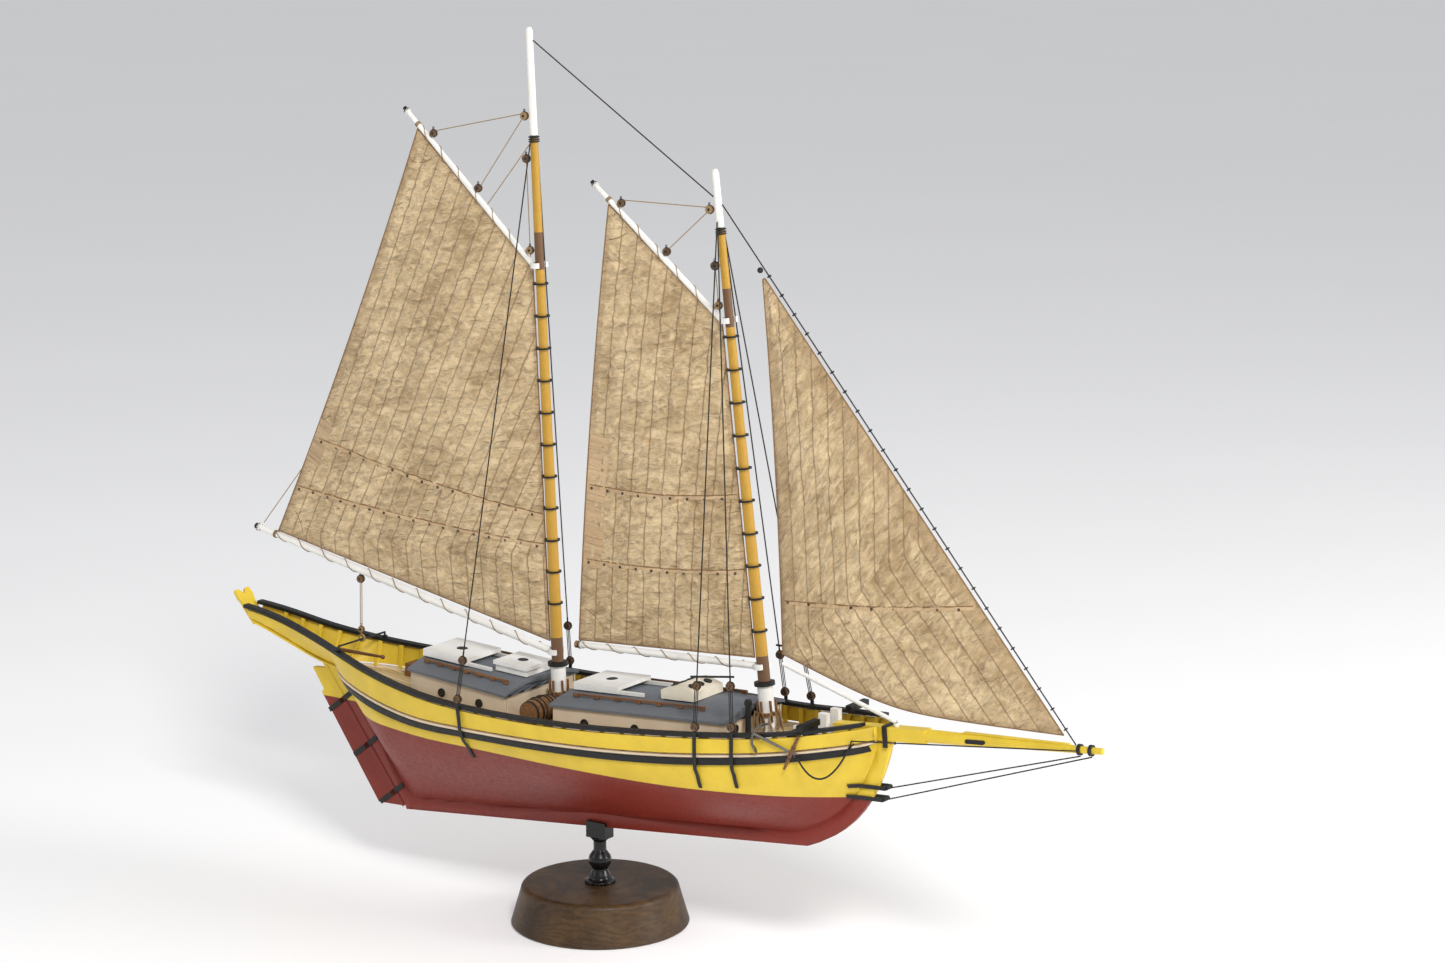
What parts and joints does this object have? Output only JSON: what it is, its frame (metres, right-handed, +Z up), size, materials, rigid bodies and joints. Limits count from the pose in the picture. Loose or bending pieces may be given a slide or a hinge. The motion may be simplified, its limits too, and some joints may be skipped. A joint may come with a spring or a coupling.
{
  "type": "display model schooner",
  "caption": "Static display model of a gaff schooner with a pink stern, swinging sail rigs, hinged rudder and sliding hatches, on a turned post and round wooden base.",
  "frame": {"origin": "centre of the stand base's underside, on the surface it stands on", "axes": "+X towards the bow, +Y to port, +Z up"},
  "size_m": [0.7992, 0.1458, 0.6853],
  "materials": {
    "stand_wood": "satin",
    "post_black": "gloss",
    "hull_paint": "satin",
    "yellow_paint": "satin",
    "black_paint": "satin",
    "cream_paint": "satin",
    "white_paint": "satin",
    "grey_paint": "satin",
    "deck_wood": "matte",
    "varnish": "gloss",
    "ochre_paint": "satin",
    "black_iron": "satin",
    "cask_wood": "satin",
    "sailcloth": "matte",
    "cord": "matte"
  },
  "bodies": {
    "hull": {"stand_base": "stand_wood", "stand_post": "post_black", "keel_saddle": "post_black", "hull_block": "hull_paint", "hull_backbone": "hull_paint", "wale_strakes": "black_paint", "covering_boards": "cream_paint", "deck_planking": "deck_wood", "pink_floor": "yellow_paint", "tailboard": "yellow_paint", "bulwark_starboard": "yellow_paint", "bulwark_port": "yellow_paint", "rail_stanchions": "yellow_paint", "cap_rail_starboard": "black_paint", "cap_rail_port": "black_paint", "rudder_gudgeons": "black_iron", "sheet_horse": "black_iron", "cockpit_bench": "varnish", "aft_cabin_sides": "cream_paint", "aft_cabin_roof": "grey_paint", "aft_roof_trim": "varnish", "aft_lift_hatch": "white_paint", "water_cask": "cask_wood", "cask_chocks": "yellow_paint", "fore_cabin_sides": "cream_paint", "fore_cabin_roof": "grey_paint", "fore_roof_trim": "varnish", "skylight": "cream_paint", "stove_pipe": "black_iron", "porthole_rims": "black_iron", "main_mast": "ochre_paint", "main_mast_foot": "white_paint", "fore_mast": "ochre_paint", "fore_mast_foot": "white_paint", "bowsprit": "yellow_paint", "bowsprit_irons": "black_iron", "windlass_bitts": "black_paint", "anchor_gear": "black_iron", "chainplates": "black_iron", "deadeyes": "black_paint", "shrouds": "cord", "stays": "cord", "bow_rigging": "cord"},
    "rudder": {"rudder_blade": "hull_paint", "rudder_straps": "black_iron", "tiller": "varnish"},
    "main_rig": {"main_boom": "white_paint", "main_gaff": "white_paint", "main_sail": "sailcloth", "main_tackle": "cord"},
    "fore_rig": {"fore_boom": "white_paint", "fore_gaff": "white_paint", "fore_sail": "sailcloth", "fore_tackle": "cord"},
    "jib": {"jib_sail": "sailcloth", "jib_hanks": "black_iron"},
    "club": {"jib_club": "white_paint"},
    "aft_hatch": {"aft_slide_hatch": "white_paint"},
    "fore_hatch": {"fore_slide_hatch": "white_paint"},
    "windlass": {"windlass_barrel": "black_paint"}
  },
  "joints": [
    {"name": "rudder_turn", "type": "hinge", "parent": "hull", "child": "rudder", "pos_m": [-0.19356, 0, 0.05995], "axis": [-0.6019, 0, 0.7985], "range_deg": [-22, 22]},
    {"name": "main_rig_swing", "type": "hinge", "parent": "hull", "child": "main_rig", "pos_m": [-0.037, 0, 0.15777], "axis": [-0.0436, 0, 0.999], "range_deg": [-5, 5]},
    {"name": "fore_rig_swing", "type": "hinge", "parent": "hull", "child": "fore_rig", "pos_m": [0.157, 0, 0.17079], "axis": [-0.1167, 0, 0.9932], "range_deg": [-6, 6]},
    {"name": "jib_swing", "type": "hinge", "parent": "hull", "child": "jib", "pos_m": [0.41228, 0, 0.20764], "axis": [-0.6409, 0, 0.7676], "range_deg": [-5, 5]},
    {"name": "club_swing", "type": "hinge", "parent": "hull", "child": "club", "pos_m": [0.266, 0, 0.19924], "axis": [0, 0, 1], "range_deg": [-8.25, 8.25]},
    {"name": "aft_hatch_slide", "type": "slide", "parent": "hull", "child": "aft_hatch", "axis": [0.9987, 0, -0.051], "range_m": [0, 0.02]},
    {"name": "fore_hatch_slide", "type": "slide", "parent": "hull", "child": "fore_hatch", "axis": [0.9986, 0, 0.0526], "range_m": [0, 0.02]},
    {"name": "windlass_turn", "type": "hinge", "parent": "hull", "child": "windlass", "pos_m": [0.194, 0, 0.18584], "axis": [0, 1, 0], "continuous": true}
  ],
  "couplings": [
    {"joint": "club_swing", "follows": "jib_swing", "ratio": 1.63}
  ]
}
